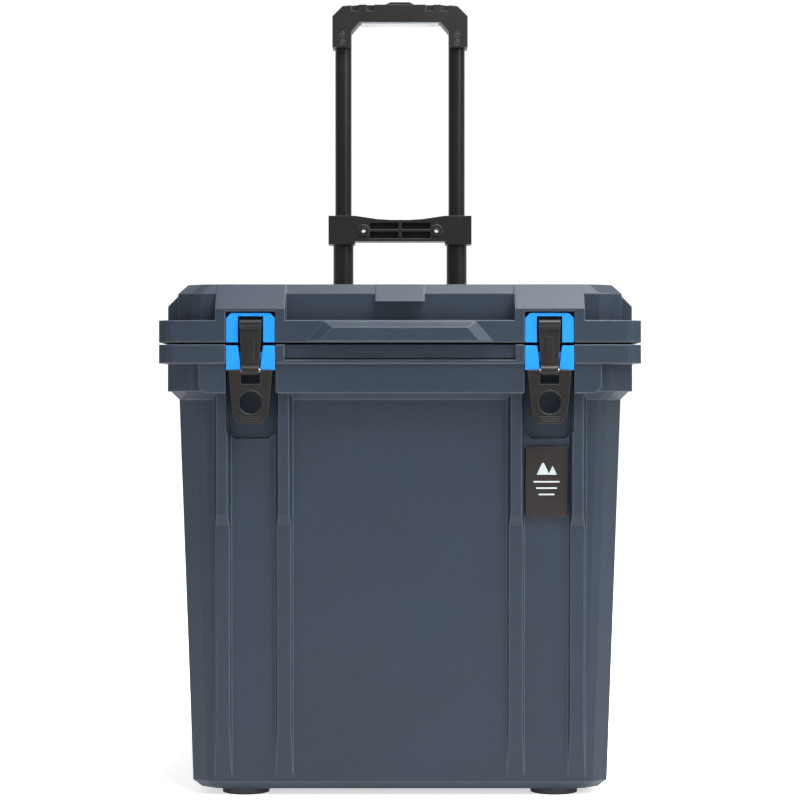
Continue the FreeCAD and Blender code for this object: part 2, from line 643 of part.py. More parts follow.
def make_lid_inside():
    """Lid insulation, the pan with its plug, and the seal round the plug."""
    foam = new_body("lid_foam")
    extrude(foam, "foam_block", "XY_Plane", lid_low + d.lid_pan, lid_top - d.lid_roof, lid_space_outline())
    pan = new_body("lid_liner")
    extrude(pan, "pan", "XY_Plane", lid_low, lid_low + d.lid_pan, lid_space_outline())
    extrude(pan, "plug", "XY_Plane", d.rim_top - d.plug_tall, lid_low + 1,
            inner_outline(0.05, -d.plug_gap))
    seal = new_body("lid_seal")
    seal_low = d.rim_top + d.seal_gap
    extrude(seal, "seal_ring", "XY_Plane", seal_low, lid_low, inner_outline(0, 2 + d.seal_wide))
    extrude(seal, "seal_hole", "XY_Plane", seal_low - 1, lid_low + 1, inner_outline(0, 2), cut=True)


def make_hinge_pins():
    """One pin through the three knuckles of each hinge."""
    reach = d.knuckle_half + d.knuckle_gap + d.knuckle_long
    for name, side in SIDES:
        pin = bar(f"hinge_pin_{name}", "x", (hinge_y, hinge_z), side * d.hinge_x - reach,
                  side * d.hinge_x + reach, d.hinge_pin_r)
        keep(pin, f"hinge_pin_{name}")


# ---------------------------------------------------------------- latches


def make_keeper(name, middle):
    """Blue frame on the lid whose window takes the link's top barrel."""
    body = new_body(f"latch_keeper_{name}")
    top = lid_low + d.keeper_tall
    extrude(body, "frame", "XZ_Plane", front_y + d.keeper_front, front_y + d.lid_recess_deep, [
        (middle + d.window_half_w, lid_low + 0.2),
        (middle + d.blue_half_w, lid_low + 0.2),
        (middle + d.blue_half_w, top - d.keeper_cut),
        (middle + d.blue_half_w - d.keeper_cut, top),
        (middle - d.blue_half_w + d.keeper_cut, top),
        (middle - d.blue_half_w, top - d.keeper_cut),
        (middle - d.blue_half_w, lid_low + 0.2),
        (middle - d.window_half_w, lid_low + 0.2),
        (middle - d.window_half_w, top - d.keeper_bar),
        (middle + d.window_half_w, top - d.keeper_bar),
    ])


def link_pin_bore(body, middle):
    """Bore for the pin that joins the link to the lever."""
    extrude(body, "link_pin_bore", "YZ_Plane", middle - d.link_pin_half, middle + d.link_pin_half,
            ((link_y, link_z), d.link_pin_r + d.snug), cut=True)


def make_cheeks(name, middle):
    """Blue cheeks of the lever, joined by the hub that turns on the pivot pin."""
    body = new_body(f"latch_cheeks_{name}")
    extrude(body, "hub", "YZ_Plane", middle - d.blue_half_w, middle + d.blue_half_w,
            ((pivot_y, pivot_z), d.hub_r))
    for way in (-1, 1):
        extrude(body, f"cheek_{way + 1}", "XZ_Plane", front_y, pivot_y, [
            (middle + way * d.window_half_w, d.rim_top - d.cheek_top),
            (middle + way * d.blue_half_w, d.rim_top - d.cheek_top),
            (middle + way * d.blue_half_w, d.rim_top - d.cheek_low),
            (middle + way * d.cheek_inner_low, d.rim_top - d.cheek_low),
        ])
    extrude(body, "pivot_bore", "YZ_Plane", middle - d.blue_half_w - 1, middle + d.blue_half_w + 1,
            ((pivot_y, pivot_z), d.pivot_r + d.fit), cut=True)
    link_pin_bore(body, middle)


def make_lever(name, middle):
    """Dark lever with the link's slot above and a finger hole below."""
    body = new_body(f"latch_lever_{name}")
    top = d.rim_top - d.cheek_low
    low = top - d.lever_tall
    front = front_y + d.lever_front
    extrude(body, "blade", "XZ_Plane", front, front + d.lever_thick, [
        (middle + d.slot_half_w, top),
        (middle + d.lever_half_w, top),
        (middle + d.lever_low_half_w, low + d.lever_tip_tall),
        (middle + d.lever_tip_half_w, low),
        (middle - d.lever_tip_half_w, low),
        (middle - d.lever_low_half_w, low + d.lever_tip_tall),
        (middle - d.lever_half_w, top),
        (middle - d.slot_half_w, top),
        (middle - d.slot_half_w, top - d.slot_tall),
        (middle + d.slot_half_w, top - d.slot_tall),
    ])
    extrude(body, "finger_hole", "XZ_Plane", front - 1, front + d.lever_thick + 1,
            ((middle, low + d.finger_up), d.finger_r), cut=True)
    link_pin_bore(body, middle)


def make_link(name, middle):
    """Blue link: a tapered plate between a lower and an upper barrel."""
    body = new_body(f"latch_link_{name}")
    top_z = link_z + d.link_long
    front = front_y + d.link_front
    extrude(body, "plate", "XZ_Plane", front, front + d.link_thick, [
        (middle - d.link_half_w, link_z),
        (middle + d.link_half_w, link_z),
        (middle + d.link_top_half_w, top_z),
        (middle - d.link_top_half_w, top_z),
    ])
    extrude(body, "low_barrel", "YZ_Plane", middle - d.link_half_w, middle + d.link_half_w,
            ((link_y, link_z), d.link_barrel_r))
    extrude(body, "top_barrel", "YZ_Plane", middle - d.link_top_half_w, middle + d.link_top_half_w,
            ((front_y + d.link_thick / 2 + d.link_front, top_z), d.link_top_barrel_r))
    extrude(body, "pin_bore", "YZ_Plane", middle - d.link_half_w - 1, middle + d.link_half_w + 1,
            ((link_y, link_z), d.link_pin_r + d.fit), cut=True)


def make_latches():
    """Both latches, each with its pivot pin and link pin."""
    for name, side in SIDES:
        middle = side * d.latch_x
        make_keeper(name, middle)
        make_cheeks(name, middle)
        make_lever(name, middle)
        make_link(name, middle)
        reach = d.recess_half_w + d.pivot_end
        pivot = bar(f"latch_pivot_pin_{name}", "x", (pivot_y, pivot_z), middle - reach, middle + reach,
                    d.pivot_r)
        keep(pivot, f"latch_pivot_pin_{name}")
        pin = bar(f"latch_link_pin_{name}", "x", (link_y, link_z), middle - d.link_pin_half,
                  middle + d.link_pin_half, d.link_pin_r)
        keep(pin, f"latch_link_pin_{name}")


# ---------------------------------------------------------------- feet and wheels


def make_feet():
    """Round front feet, each with one screw from below."""
    for name, side in SIDES:
        centre = (side * d.foot_x, front_y + d.foot_back)
        foot = new_body(f"front_foot_{name}")
        extrude(foot, "pad", "XY_Plane", 0, d.foot_tall, (centre, d.foot_r))
        head_top = d.foot_head_low + d.foot_head_tall
        extrude(foot, "counterbore", "XY_Plane", -1, head_top, (centre, d.foot_head_r + d.loose), cut=True)
        extrude(foot, "screw_bore", "XY_Plane", -1, d.foot_tall + 1,
                (centre, d.foot_screw_r + d.snug), cut=True)
        shank = bar(f"foot_shank_{name}", "z", centre, head_top, shell_floor - 1, d.foot_screw_r)
        head = bar(f"foot_head_{name}", "z", centre, d.foot_head_low, head_top, d.foot_head_r)
        keep(combine(f"foot_screw_{name}", "Part::MultiFuse", [shank, head]), f"foot_screw_{name}")


def make_wheel(name, side):
    """Tyre, hub, washer, sleeve and cap on one end of the axle."""
    inner = side * d.wheel_inner_x
    outer = side * (d.wheel_inner_x + d.wheel_wide)
    seat = d.wheel_r - d.tyre_thick
    tyre = new_body(f"tyre_{name}")
    turned(tyre, "tread", 0, [
        (inner, seat),
        (outer, seat),
        (outer, d.wheel_r - d.tyre_edge),
        (outer - side * d.tyre_edge, d.wheel_r),
        (inner + side * d.tyre_edge, d.wheel_r),
        (inner, d.wheel_r - d.tyre_edge),
    ])
    hub = new_body(f"wheel_hub_{name}")
    bore = d.axle_r + d.fit
    rim = seat - d.hub_rim
    disc_out = outer - side * d.hub_disc
    disc_in = disc_out - side * d.hub_disc
    turned(hub, "hub", 0, [
        (inner, bore),
        (outer, bore),
        (outer, d.hub_core_r),
        (disc_out, d.hub_core_r + 3),
        (disc_out, rim),
        (outer, rim),
        (outer, seat),
        (inner, seat),
        (inner, rim),
        (disc_in, rim),
        (disc_in, d.hub_core_r),
        (inner, d.hub_core_r),
    ])
    washer_in = inner - side * d.washer_thick
    ends = sorted((washer_in, inner), key=lambda size: size.value)
    tube(f"wheel_washer_{name}", "x", (axle_y, axle_z), ends[0], ends[1], d.washer_r, d.axle_r + d.snug)
    sleeve = new_body(f"axle_sleeve_{name}")
    flange = side * (d.spine_half_w + d.sleeve_flange)
    start = side * d.spine_half_w
    turned(sleeve, "sleeve", 0, [
        (start, d.axle_r + d.snug),
        (washer_in, d.axle_r + d.snug),
        (washer_in, d.sleeve_r),
        (flange, d.sleeve_r),
        (flange, d.sleeve_flange_r),
        (start, d.sleeve_flange_r),
    ])
    cap_ends = sorted((outer, outer + side * d.cap_thick), key=lambda size: size.value)
    cap = new_body(f"wheel_cap_{name}")
    extrude(cap, "disc", "YZ_Plane", cap_ends[0], cap_ends[1], ((axle_y, axle_z), d.cap_r))
    keep_clear = sorted((outer - side, side * (d.axle_half + 0.5)), key=lambda size: size.value)
    extrude(cap, "axle_room", "YZ_Plane", keep_clear[0], keep_clear[1],
            ((axle_y, axle_z), d.axle_r + d.loose), cut=True)


def make_wheels():
    """The axle and both wheels."""
    keep(bar("axle", "x", (axle_y, axle_z), -d.axle_half, d.axle_half, d.axle_r), "axle")
    for name, side in SIDES:
        make_wheel(name, side)


# ---------------------------------------------------------------- handle


def make_tubes():
    """Three telescoping tubes on each side and the bush that guides the middle one."""
    grip_end = d.grip_low + d.tube_in_grip
    for name, side in SIDES:
        centre = (side * d.tube_x, handle_y)
        tube(f"outer_tube_{name}", "z", centre, d.outer_tube_low, outer_tube_top,
             d.outer_tube_r, d.outer_tube_r - d.outer_tube_wall)
        tube(f"middle_tube_{name}", "z", centre, d.middle_tube_low, d.bar_low + d.bar_seat,
             d.middle_tube_r, d.middle_tube_r - d.middle_tube_wall)
        tube(f"inner_tube_{name}", "z", centre, d.inner_tube_low, grip_end,
             d.inner_tube_r, d.inner_tube_r - d.inner_tube_wall)
        bush = new_body(f"tube_bush_{name}")
        bush_top = outer_tube_top + d.bush_lip
        extrude(bush, "ring", "XY_Plane", bush_top - d.bush_tall, bush_top, (centre, d.bush_r))
        extrude(bush, "tube_seat", "XY_Plane", bush_top - d.bush_tall - 1, outer_tube_top,
                (centre, d.outer_tube_r + d.snug), cut=True)
        extrude(bush, "guide", "XY_Plane", outer_tube_top - 1, bush_top + 1,
                (centre, d.middle_tube_r + d.fit), cut=True)


def make_brackets():
    """Two brackets that clamp the outer tubes to the spine, with their screws."""
    for level, low in (("lower", d.low_bracket_z), ("upper", high_bracket_z)):
        bracket = new_body(f"{level}_bracket")
        extrude(bracket, "block", "XY_Plane", low, low + d.bracket_tall,
                cut_box(d.bracket_half_w, spine_y, handle_y + d.outer_tube_r + 3, 8))
        for name, side in SIDES:
            centre = (side * d.tube_x, handle_y)
            bottom = d.outer_tube_low if level == "lower" else low - 1
            extrude(bracket, f"tube_seat_{name}", "XY_Plane", bottom, low + d.bracket_tall + 1,
                    (centre, d.outer_tube_r + d.snug), cut=True)
            place = (side * d.bracket_screw_x, low + d.bracket_tall / 2)
            back = handle_y + d.outer_tube_r + 3
            extrude(bracket, f"screw_bore_{name}", "XZ_Plane", spine_y - 1, back + 1,
                    (place, d.bracket_screw_r + d.snug), cut=True)
            label = f"{level}_bracket_screw_{name}"
            shank = bar(f"{label}_shank", "y", place, spine_y - d.spine_wall + 1, back, d.bracket_screw_r)
            head = bar(f"{label}_head", "y", place, back, back + d.bracket_head, d.bracket_head_r)
            keep(combine(label, "Part::MultiFuse", [shank, head]), label)


def make_crossbar():
    """Crossbar on the middle tubes: two collars and a ribbed bridge with two bolt bosses."""
    body = new_body("crossbar")
    bridge_low = d.bar_low + d.bar_arch
    extrude(body, "bridge", "XZ_Plane", handle_front, handle_rear, mirrored([
        (d.collar_inner_x, bridge_low),
        (d.collar_inner_x, d.bar_low),
        (d.bar_half_w, d.bar_low),
        (d.bar_half_w, bar_top),
        (d.collar_inner_x, bar_top),
        (d.collar_inner_x / 2, bar_top - 0.8 * d.bar_dip),
        (0.2 * d.collar_inner_x, bar_top - d.bar_dip),
    ]))
    boss_z = d.bar_low + d.boss_up
    for name, side in SIDES:
        ends = sorted((side * d.cell_inner_x, side * d.cell_outer_x), key=lambda size: size.value)
        rows = (
            (bridge_low + d.cell_edge, boss_z - d.cell_rib_half),
            (boss_z + d.cell_rib_half, bar_top - d.bar_dip - d.cell_edge),
        )
        for number, (low, high) in enumerate(rows):
            extrude(body, f"cell_{name}_{number}", "XZ_Plane", handle_front - 1,
                    handle_front + d.cell_deep, box_points(ends[0], ends[1], low, high), cut=True)
        centre = (side * d.tube_x, handle_y)
        extrude(body, f"middle_seat_{name}", "XY_Plane", d.bar_low - 1, d.bar_low + d.bar_seat,
                (centre, d.middle_tube_r + d.snug), cut=True)
        extrude(body, f"inner_guide_{name}", "XY_Plane", d.bar_low, bar_top + 1,
                (centre, d.inner_tube_r + d.fit), cut=True)
        extrude(body, f"boss_{name}", "XZ_Plane", handle_front - d.boss_proud, handle_front + 1,
                ((side * d.boss_x, boss_z), d.boss_r))
        extrude(body, f"bolt_hole_{name}", "XZ_Plane", handle_front - 2, handle_rear + 1,
                ((side * d.boss_x, boss_z), d.boss_hole_r), cut=True)


def grip_outline():
    """Front view of the grip: an arch with two legs."""
    leg_top = d.grip_low + d.leg_tall
    return mirrored([
        (d.loop_half_w, d.grip_low + d.loop_tall),
        (d.leg_inner_x, leg_top),
        (d.leg_inner_x, d.grip_low),
        (d.grip_half_w, d.grip_low),
        (d.grip_half_w, grip_top - d.grip_end_drop - d.grip_cut),
        (d.grip_half_w - d.grip_cut, grip_top - d.grip_end_drop),
        (0.62 * d.grip_half_w, grip_top),
    ])


def make_grip():
    """Grip in a front and a rear shell, with the grey strip, the button and the tube screws."""
    strip_top = d.grip_low + d.loop_tall - d.strip_grey_proud + d.strip_grey_thick
    well_low = grip_top - d.button_well
    for name, low, high in (("front", handle_front, handle_y), ("rear", handle_y, handle_rear)):
        body = new_body(f"grip_{name}")
        extrude(body, "arch", "XZ_Plane", low, high, grip_outline())
        for side_name, side in SIDES:
            extrude(body, f"tube_seat_{side_name}", "XY_Plane", d.grip_low - 1,
                    d.grip_low + d.tube_in_grip, ((side * d.tube_x, handle_y),
                                                  d.inner_tube_r + d.snug), cut=True)
        extrude(body, "strip_seat", "XY_Plane", d.grip_low + d.loop_tall - 1, strip_top,
                box_points(-d.strip_grey_half_w, d.strip_grey_half_w,
                           handle_front + d.strip_grey_margin, handle_rear - d.strip_grey_margin),
                cut=True)
        extrude(body, "button_well", "XY_Plane", well_low, grip_top + 1,
                box_points(-d.button_half_w - d.loose, d.button_half_w + d.loose,
                           handle_y - d.button_half_deep - d.loose,
                           handle_y + d.button_half_deep + d.loose), cut=True)
        if name == "front":
            cut_grip_front(body)
    strip = new_body("grip_strip")
    extrude(strip, "strip", "XY_Plane", strip_top - d.strip_grey_thick, strip_top,
            box_points(-d.strip_grey_half_w, d.strip_grey_half_w,
                       handle_front + d.strip_grey_margin, handle_rear - d.strip_grey_margin))
    for side_name, side in SIDES:
        extrude(strip, f"hole_{side_name}", "XY_Plane", strip_top - d.strip_grey_thick - 1, strip_top + 1,
                ((side * d.strip_hole_x, handle_y), d.strip_hole_r), cut=True)
    make_button()


def cut_grip_front(body):
    """Notches along the grip's top front edge, and the seats and screws at the tubes."""
    for side_name, side in SIDES:
        for number, place in enumerate((d.notch_a_x, d.notch_b_x)):
            extrude(body, f"notch_{side_name}_{number}", "XZ_Plane", handle_front - 1,
                    handle_front + d.notch_deep,
                    box_points(side * place - d.notch_wide / 2, side * place + d.notch_wide / 2,
                               grip_top - d.notch_tall, grip_top + 1), cut=True)
        for number in range(2):
            place = (side * d.grip_screw_x, d.grip_low + d.grip_screw_z + number * d.grip_screw_step)
            tube_front = handle_y - d.inner_tube_r
            extrude(body, f"screw_seat_{side_name}_{number}", "XZ_Plane", handle_front - 1,
                    handle_front + d.grip_head, (place, d.grip_head_r + d.snug), cut=True)
            extrude(body, f"screw_bore_{side_name}_{number}", "XZ_Plane", handle_front, tube_front,
                    (place, d.grip_screw_r + d.snug), cut=True)
            label = f"grip_screw_{side_name}_{number + 1}"
            shank = bar(f"{label}_shank", "y", place, handle_front + d.grip_head, tube_front - 0.1,
                        d.grip_screw_r)
            head = bar(f"{label}_head", "y", place, handle_front, handle_front + d.grip_head,
                       d.grip_head_r)
            keep(combine(label, "Part::MultiFuse", [shank, head]), label)


def make_button():
    """Release button, wider inside the grip than at its crown."""
    button = new_body("button")
    y_low, y_high = handle_y - d.button_half_deep, handle_y + d.button_half_deep
    extrude(button, "block", "XZ_Plane", y_low, y_high, mirrored([
        (d.button_half_w, grip_top - d.button_deep),
        (d.button_half_w, grip_top),
        (d.button_top_half_w, grip_top + d.button_proud),
    ]))


make_body_shell()
make_inside()
make_badge()
make_lid_shell()
make_lid_inside()
make_hinge_pins()
make_latches()
make_feet()
make_wheels()
make_tubes()
make_brackets()
make_crossbar()
make_grip()


# ---------------------------------------------------------------- check and write


def write_parts():
    """Refuse a failed document, then write every sub-part."""
    doc.recompute()
    failed = [item.Name for item in doc.Objects if {"Invalid", "Error"} & set(item.State)]
    if failed:
        raise RuntimeError(f"features failed: {failed}")
    for node in NODES:
        if node.Shape.isNull() or not node.Shape.isValid():
            raise RuntimeError(f"{node.Label} has no valid shape")
    os.makedirs("parts", exist_ok=True)
    for node in NODES:
        node.Shape.exportStep(f"parts/{node.Label}.step")
        print(f"{node.Label}: {len(node.Shape.Solids)} solid, {node.Shape.Volume / 1000:.1f} cm3")


write_parts()
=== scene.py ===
"""Looks of the cooler on wheels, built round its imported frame. Metres, +Z up, -Y is the front."""

import json
import math

import bmesh
import bpy
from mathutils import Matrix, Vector


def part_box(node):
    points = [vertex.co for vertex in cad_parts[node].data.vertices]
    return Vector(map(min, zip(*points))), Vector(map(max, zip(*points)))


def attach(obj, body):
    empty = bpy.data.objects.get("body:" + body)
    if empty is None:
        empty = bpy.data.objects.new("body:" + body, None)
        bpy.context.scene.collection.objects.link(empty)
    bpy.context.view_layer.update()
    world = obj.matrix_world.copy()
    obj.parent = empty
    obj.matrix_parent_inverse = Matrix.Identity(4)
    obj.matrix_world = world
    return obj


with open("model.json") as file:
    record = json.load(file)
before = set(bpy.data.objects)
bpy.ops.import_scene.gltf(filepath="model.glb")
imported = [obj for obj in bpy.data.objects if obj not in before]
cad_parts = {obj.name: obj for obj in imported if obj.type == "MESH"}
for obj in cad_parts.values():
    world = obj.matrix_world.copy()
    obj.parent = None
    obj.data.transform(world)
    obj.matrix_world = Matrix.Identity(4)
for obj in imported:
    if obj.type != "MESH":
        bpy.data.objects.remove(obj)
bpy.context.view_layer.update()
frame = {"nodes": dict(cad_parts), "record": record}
SIDES = {"left": -1, "right": 1}
MM = 0.001

# ---------------------------------------------------------------- materials

MOTTLE_SCALE = 9.0                      # noise scales multiply coordinates in metres
MOTTLE_DETAIL = 4.0
GRAIN_DETAIL = 2.0
NOISE_ROUGHNESS = 0.6
SPECK_STRENGTH = 0.22
GRAIN_DEPTH = 0.3 * MM
PLASTIC_SHINE = 0.2
METAL_SHINE = 0.5
BEVEL_SAMPLES = 6
# painted highlight along edges: where it starts and is full, and how much paler it makes the colour
HIGHLIGHT_STARTS, HIGHLIGHT_IS_FULL = 0.995, 0.90   # cosine between the rounded and the plain normal
HIGHLIGHT_LIGHTER, HIGHLIGHT_LIFT = 3.0, 0.09
SMOOTHER, ROUGHER = 0.08, 0.1           # spread of the roughness about its value
SMOOTHEST = 0.05
TREAD_SCALE = 35.0
TREAD_STRENGTH = 0.6
TREAD_DEPTH = 1.0 * MM


def add(tree, kind, **inputs):
    """Add a shader node and set its inputs by name (underscores stand for spaces)."""
    node = tree.nodes.new(kind)
    for name, value in inputs.items():
        node.inputs[name.replace("_", " ")].default_value = value
    return node


def noise(tree, place, scale, detail):
    """Noise in the object's own coordinates."""
    node = add(tree, "ShaderNodeTexNoise", Scale=scale, Detail=detail, Roughness=NOISE_ROUGHNESS)
    tree.links.new(place.outputs["Object"], node.inputs["Vector"])
    return node


def ramp(tree, source, dark, light, low=0.35, high=0.65):
    """Map a value to a colour between two tones."""
    node = tree.nodes.new("ShaderNodeValToRGB")
    node.color_ramp.elements[0].position = low
    node.color_ramp.elements[1].position = high
    node.color_ramp.elements[0].color = (*dark, 1)
    node.color_ramp.elements[1].color = (*light, 1)
    tree.links.new(source, node.inputs["Fac"])
    return node


def surface(name, colour, spread=0.18, rough=0.5, metal=0.0, grain=900, bump=0.25, edge=0.8, edge_highlight=0.25):
    """Moulded or machined surface: mottled colour, fine grain, and rounded edges with a painted highlight
    that makes them paler.

    grain is the scale of the fine noise, bump its strength, and edge the rounding in millimetres.
    """
    material = bpy.data.materials.new(name)
    material.use_nodes = True
    tree = material.node_tree
    shader = tree.nodes["Principled BSDF"]
    shader.inputs["Metallic"].default_value = metal
    shader.inputs["Specular IOR Level"].default_value = METAL_SHINE if metal else PLASTIC_SHINE
    place = tree.nodes.new("ShaderNodeTexCoord")
    broad = noise(tree, place, MOTTLE_SCALE, MOTTLE_DETAIL)
    fine = noise(tree, place, grain, GRAIN_DETAIL)
    dark = [channel * (1 - spread) for channel in colour]
    light = [channel * (1 + spread) for channel in colour]
    tones = ramp(tree, broad.outputs["Fac"], dark, light)
    specks = add(tree, "ShaderNodeMixRGB", Fac=SPECK_STRENGTH)
    specks.blend_type = "OVERLAY"
    tree.links.new(tones.outputs["Color"], specks.inputs["Color1"])
    tree.links.new(fine.outputs["Fac"], specks.inputs["Color2"])
    # rounded edges, and a painted highlight along them that makes them paler
    bevel = tree.nodes.new("ShaderNodeBevel")
    bevel.samples = BEVEL_SAMPLES
    bevel.inputs["Radius"].default_value = edge * MM
    shape = tree.nodes.new("ShaderNodeNewGeometry")
    turn = tree.nodes.new("ShaderNodeVectorMath")
    turn.operation = "DOT_PRODUCT"
    tree.links.new(bevel.outputs["Normal"], turn.inputs[0])
    tree.links.new(shape.outputs["Normal"], turn.inputs[1])
    # painted highlight: paler colour where the rounded normal turns away from the plain one
    edge_glint = ramp(tree, turn.outputs["Value"], (edge_highlight,) * 3, (0, 0, 0), HIGHLIGHT_IS_FULL, HIGHLIGHT_STARTS)
    pale = [min(1.0, channel * HIGHLIGHT_LIGHTER + HIGHLIGHT_LIFT) for channel in colour]
    edges = tree.nodes.new("ShaderNodeMixRGB")
    edges.inputs["Color2"].default_value = (*pale, 1)
    tree.links.new(edge_glint.outputs["Color"], edges.inputs["Fac"])
    tree.links.new(specks.outputs["Color"], edges.inputs["Color1"])
    tree.links.new(edges.outputs["Color"], shader.inputs["Base Color"])
    smooth = max(SMOOTHEST, rough - SMOOTHER)
    finish = add(tree, "ShaderNodeMapRange", To_Min=smooth, To_Max=rough + ROUGHER)
    tree.links.new(broad.outputs["Fac"], finish.inputs["Value"])
    tree.links.new(finish.outputs["Result"], shader.inputs["Roughness"])
    relief = add(tree, "ShaderNodeBump", Strength=bump, Distance=GRAIN_DEPTH)
    tree.links.new(fine.outputs["Fac"], relief.inputs["Height"])
    tree.links.new(bevel.outputs["Normal"], relief.inputs["Normal"])
    tree.links.new(relief.outputs["Normal"], shader.inputs["Normal"])
    return material


def treaded(name, colour):
    """Tyre rubber with fine grooves that run round it, side by side across its width."""
    material = surface(name, colour, rough=0.75, grain=500, bump=0.4)
    tree = material.node_tree
    place = next(node for node in tree.nodes if node.type == "TEX_COORD")
    bump = next(node for node in tree.nodes if node.type == "BUMP")
    bands = add(tree, "ShaderNodeTexWave", Scale=TREAD_SCALE, Distortion=0.0)
    bands.bands_direction = "X"
    tree.links.new(place.outputs["Object"], bands.inputs["Vector"])
    grooves = add(tree, "ShaderNodeBump", Strength=TREAD_STRENGTH, Distance=TREAD_DEPTH)
    tree.links.new(bands.outputs["Fac"], grooves.inputs["Height"])
    tree.links.new(grooves.outputs["Normal"], bump.inputs["Normal"])
    return material


# a strength given last in a surface sets its painted edge highlight; the others keep the default
MATERIALS = {
    "body": surface("moulded_slate", (0.014, 0.0215, 0.033), spread=0.05, rough=0.42, edge=2.0, edge_highlight=0.4),
    "foam": surface("rigid_foam", (0.72, 0.66, 0.42), rough=0.9, grain=300, bump=0.6, edge_highlight=0.0),
    "liner": surface("liner_white", (0.46, 0.49, 0.51), spread=0.05, rough=0.35, edge=2.0, edge_highlight=0.1),
    "badge": surface("badge_black", (0.012, 0.010, 0.009), rough=0.4, edge_highlight=0.3),
    "seal": surface("seal_rubber", (0.025, 0.025, 0.026), rough=0.7, grain=500),
    "blue": surface("latch_blue", (0.006, 0.165, 0.540), spread=0.06, rough=0.36, edge_highlight=0.15),
    "dark": surface("latch_dark", (0.007, 0.0065, 0.006), spread=0.1, rough=0.42, edge=1.0, edge_highlight=0.35),
    "steel": surface("turned_steel", (0.50, 0.50, 0.49), rough=0.3, metal=1.0, grain=1500, bump=0.1),
    "rubber": surface("foot_rubber", (0.030, 0.033, 0.036), rough=0.75, grain=500, bump=0.4),
    "tube": surface("tube_black", (0.005, 0.0045, 0.004), spread=0.1, rough=0.32, grain=1500, bump=0.08,
                    edge_highlight=0.15),
    "tyre": treaded("tyre_rubber", (0.022, 0.022, 0.023)),
    "grey": surface("strip_grey", (0.50, 0.52, 0.54), spread=0.06, rough=0.45),
    "graphic": surface("badge_graphic", (0.36, 0.40, 0.41), spread=0.08, rough=0.4),
}


def dress(thing, slot):
    """Give an object one of the materials."""
    thing.data.materials.clear()
    thing.data.materials.append(MATERIALS[slot])


for entry in frame["record"]["subparts"]:
    is_grip_screw = entry["node"].startswith("grip_screw_")  # these are dark, whatever their slot
    dress(frame["nodes"][entry["node"]], "dark" if is_grip_screw else entry["material_slot"])

# ---------------------------------------------------------------- added detail

PLATE_ROUNDING = 0.3 * MM
SOFTEN_SEGMENTS = 2

# badge graphic: shares of the badge's width or height, unless they are in MM
PEAKS = (("big", -0.08, 0.20), ("small", 0.14, 0.13))   # name, shift from the middle, height
PEAKS_FOOT = 0.60
PEAK_WIDTH_PER_HEIGHT = 0.9
LINE_COUNT = 3
LINE_TOP, LINE_PITCH = 0.50, 0.09
LINE_HALF_W, LINE_SHRINK = 0.30, 0.06
LINE_HALF_H = 0.8 * MM
GRAPHIC_DEPTH, GRAPHIC_PROUD = 1.2 * MM, 0.4 * MM

# painted shade of the screws' drive sockets: size and place of the dark plates
DRIVE_R, DRIVE_SIDES = 1.5 * MM, 6
DRIVE_DEPTH, DRIVE_PROUD, DRIVE_ROUNDING = 0.3 * MM, 0.15 * MM, 0.05 * MM

RIDGE_COUNT = 3
RIDGE_ABOVE_TIP, RIDGE_PITCH = 2.4 * MM, 2.3 * MM
RIDGE_HALF_W, RIDGE_GROWTH = 8.5 * MM, 1.0 * MM
RIDGE_HALF_H, RIDGE_PROUD = 0.5 * MM, 0.5 * MM
RIB_HALF_W, RIB_HALF_H = 4.0 * MM, 13.0 * MM
RIB_DROP, RIB_PROUD = 2.0 * MM, 0.9 * MM
RIDGE_DEPTH = 1.0 * MM                      # of the ridges and the ribs

RING_SEGMENTS, RING_SIDES = 40, 10
BOLT_FROM_MIDDLE, BOLT_ABOVE_FOOT, BOLT_RING_BACK = 43.3 * MM, 16.4 * MM, 0.3 * MM
BOLT_RING_R, BOLT_RING_THICK = 3.3 * MM, 0.7 * MM
FINGER_ABOVE_TIP, FINGER_RING_BACK = 21.1 * MM, 0.1 * MM
FINGER_RING_R, FINGER_RING_THICK = 12.3 * MM, 0.9 * MM


def solid(name, body, slot, corners, depth, front, round_by=PLATE_ROUNDING):
    """Thin plate facing -Y: corners are (x, z) pairs, front is the y of its face."""
    mesh = bpy.data.meshes.new(name)
    work = bmesh.new()
    face = work.faces.new([work.verts.new((x, front, z)) for x, z in corners])
    grown = bmesh.ops.extrude_face_region(work, geom=[face])
    moved = [item for item in grown["geom"] if isinstance(item, bmesh.types.BMVert)]
    bmesh.ops.translate(work, verts=moved, vec=Vector((0, depth, 0)))
    bmesh.ops.recalc_face_normals(work, faces=work.faces)
    work.to_mesh(mesh)
    work.free()
    piece = bpy.data.objects.new(name, mesh)
    bpy.context.scene.collection.objects.link(piece)
    soften = piece.modifiers.new("soften", "BEVEL")
    soften.width = round_by
    soften.segments = SOFTEN_SEGMENTS
    dress(piece, slot)
    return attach(piece, body)


def rectangle(x, z, half_w, half_h):
    """Corners of an upright rectangle about a centre."""
    left, right = x - half_w, x + half_w
    bottom, top = z - half_h, z + half_h
    return [(left, bottom), (right, bottom), (right, top), (left, top)]


def regular_outline(x, z, radius, count):
    """Corners of a regular polygon about a centre."""
    turns = [2 * math.pi * step / count for step in range(count)]
    return [(x + radius * math.cos(turn), z + radius * math.sin(turn)) for turn in turns]


def frame_slope(node):
    """Lean of a plate's front face: how far its foot lies behind its head, per unit of height."""
    points = [vertex.co for vertex in frame["nodes"][node].data.vertices]
    top = max(point.z for point in points)
    bottom = min(point.z for point in points)
    head = min(point.y for point in points if point.z > top - MM)
    foot = min(point.y for point in points if point.z < bottom + MM)
    return (foot - head) / (top - bottom)


